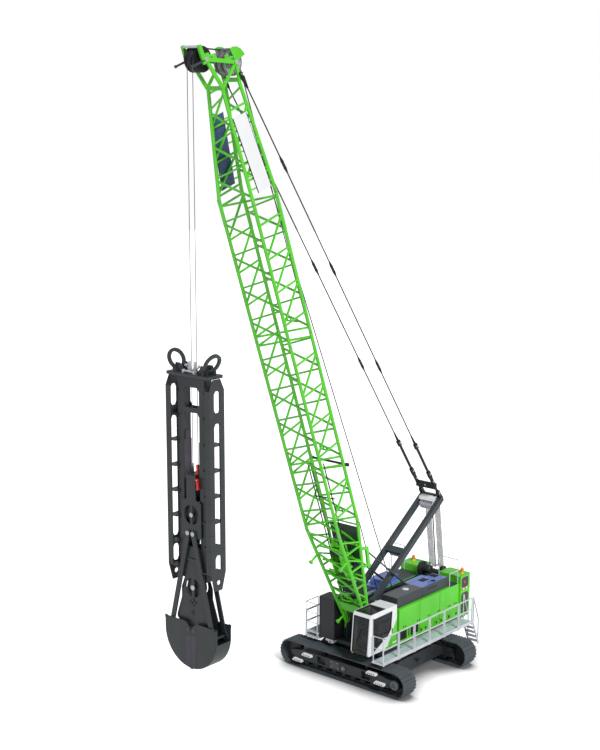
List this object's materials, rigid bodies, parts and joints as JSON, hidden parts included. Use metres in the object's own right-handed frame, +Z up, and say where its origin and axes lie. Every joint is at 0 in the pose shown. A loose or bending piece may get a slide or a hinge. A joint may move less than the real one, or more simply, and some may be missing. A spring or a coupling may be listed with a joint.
{
  "type": "cable excavator",
  "caption": "Crawler cable excavator with a lattice boom, A-frame and pendants, cab, houses and a rope-hung diaphragm wall clamshell grab.",
  "frame": {"origin": "on the ground, on the slewing axis, midway between the tracks", "axes": "+Z up; the boom points to -Y and the cab is on the +X side; the tracks run along X"},
  "size_m": [6.993, 16.53, 26.8256],
  "materials": {
    "undercarriage_grey": "satin",
    "track_steel": "satin",
    "bare_steel": "satin",
    "white_paint": "gloss",
    "dark_frame": "satin",
    "dark_hood": "satin",
    "lime_green": "gloss",
    "galvanised": "satin",
    "cab_glazing": "gloss",
    "seat_fabric": "matt",
    "rope_steel": "satin",
    "sheave_black": "matt",
    "grab_charcoal": "satin"
  },
  "bodies": {
    "undercarriage": {"carbody": "undercarriage_grey", "slewing_ring": "bare_steel", "track_frame_near": "undercarriage_grey", "track_frame_far": "undercarriage_grey", "track_near": "track_steel", "track_far": "track_steel", "drive_sprockets": "undercarriage_grey", "idlers": "undercarriage_grey", "track_rollers": "track_steel", "grip_steps": "white_paint"},
    "superstructure": {"turntable_frame": "dark_frame", "left_house": "lime_green", "house_hood": "dark_hood", "right_house": "lime_green", "front_box": "dark_hood", "counterweight": "lime_green", "left_walkway": "galvanised", "right_walkway": "galvanised", "rear_ladder": "galvanised", "cab_shell": "white_paint", "cab_glass": "cab_glazing", "cab_seat": "seat_fabric"},
    "sliding_door": {"cab_door": "white_paint", "cab_door_glass": "cab_glazing"},
    "front_drum": {"hoist_drum_front": "bare_steel"},
    "rear_drum": {"hoist_drum_rear": "bare_steel"},
    "luff_drum": {"luffing_drum": "bare_steel"},
    "a_frame": {"gantry": "dark_frame"},
    "stays": {"pendants": "rope_steel"},
    "boom": {"boom_foot": "lime_green", "boom_back_sheet": "dark_frame", "boom_section_lower": "lime_green", "boom_section_middle": "lime_green", "boom_section_upper": "lime_green", "boom_head": "lime_green", "sign_boards": "white_paint"},
    "front_sheave_set": {"front_sheaves": "sheave_black"},
    "rear_sheave_set": {"rear_sheaves": "bare_steel"},
    "hanging_ropes": {"hoist_ropes": "rope_steel"},
    "grab": {"grab_head": "grab_charcoal", "grab_guide_frame": "grab_charcoal", "grab_side_frames": "grab_charcoal"},
    "carriage": {"grab_carriage": "grab_charcoal"},
    "arms_left": {"push_arms_left": "grab_charcoal"},
    "arms_right": {"push_arms_right": "grab_charcoal"},
    "left_shell": {"shell_left": "grab_charcoal"},
    "right_shell": {"shell_right": "grab_charcoal"}
  },
  "joints": [
    {"name": "slew", "type": "hinge", "parent": "undercarriage", "child": "superstructure", "pos_m": [0, 0, 1.27], "axis": [0, 0, 1], "continuous": true},
    {"name": "door_slide", "type": "slide", "parent": "superstructure", "child": "sliding_door", "axis": [0, 1, 0], "range_m": [0, 0.9]},
    {"name": "front_drum_spin", "type": "hinge", "parent": "superstructure", "child": "front_drum", "pos_m": [0, 0.25, 2.56], "axis": [-1, 0, 0], "continuous": true},
    {"name": "rear_drum_spin", "type": "hinge", "parent": "superstructure", "child": "rear_drum", "pos_m": [0, 1.25, 2.56], "axis": [-1, 0, 0], "continuous": true},
    {"name": "luff_drum_spin", "type": "hinge", "parent": "superstructure", "child": "luff_drum", "pos_m": [0, 3.05, 2.65], "axis": [-1, 0, 0], "continuous": true},
    {"name": "luff", "type": "hinge", "parent": "superstructure", "child": "boom", "pos_m": [0, -1.412, 2.064], "axis": [-1, 0, 0], "range_deg": [-25, 10]},
    {"name": "gantry_lean", "type": "hinge", "parent": "superstructure", "child": "a_frame", "pos_m": [0, -1.05, 3.35], "axis": [-1, 0, 0], "range_deg": [-30, 12.5]},
    {"name": "stay_swing", "type": "hinge", "parent": "boom", "child": "stays", "pos_m": [0, -9.2, 25.84], "axis": [-1, 0, 0], "range_deg": [-1, 1]},
    {"name": "front_sheave_spin", "type": "hinge", "parent": "boom", "child": "front_sheave_set", "pos_m": [0, -10.9508, 26.32977], "axis": [-1, 0, 0], "continuous": true},
    {"name": "rear_sheave_spin", "type": "hinge", "parent": "boom", "child": "rear_sheave_set", "pos_m": [0, -9.40149, 26.26076], "axis": [-1, 0, 0], "continuous": true},
    {"name": "plumb", "type": "hinge", "parent": "boom", "child": "hanging_ropes", "pos_m": [0, -10.9508, 26.32977], "axis": [-1, 0, 0], "range_deg": [-11, 26]},
    {"name": "hoist", "type": "slide", "parent": "hanging_ropes", "child": "grab", "axis": [0, 0, 1], "range_m": [-3.2, 4]},
    {"name": "shell_left_open", "type": "hinge", "parent": "grab", "child": "left_shell", "pos_m": [0.15, -11.35, 5], "axis": [0, -1, 0], "range_deg": [0, 50]},
    {"name": "shell_right_open", "type": "hinge", "parent": "grab", "child": "right_shell", "pos_m": [-0.15, -11.35, 5], "axis": [0, 1, 0], "range_deg": [0, 50]},
    {"name": "carriage_slide", "type": "slide", "parent": "grab", "child": "carriage", "axis": [0, 0, 1], "range_m": [0, 0.86]},
    {"name": "arm_left_swing", "type": "hinge", "parent": "carriage", "child": "arms_left", "pos_m": [0.137, -11.35, 8.84], "axis": [0, -1, 0], "range_deg": [-3, 0]},
    {"name": "arm_right_swing", "type": "hinge", "parent": "carriage", "child": "arms_right", "pos_m": [-0.137, -11.35, 8.84], "axis": [0, 1, 0], "range_deg": [-3, 0]}
  ],
  "couplings": [
    {"joint": "gantry_lean", "follows": "luff", "ratio": 1.1809},
    {"joint": "stay_swing", "follows": "luff", "ratio": 0.0258},
    {"joint": "plumb", "follows": "luff", "ratio": -1},
    {"joint": "shell_right_open", "follows": "shell_left_open", "ratio": 1},
    {"joint": "carriage_slide", "follows": "shell_left_open", "m_per_rad": 0.9731},
    {"joint": "arm_left_swing", "follows": "shell_left_open", "ratio": -0.05357},
    {"joint": "arm_right_swing", "follows": "shell_left_open", "ratio": -0.05357}
  ]
}
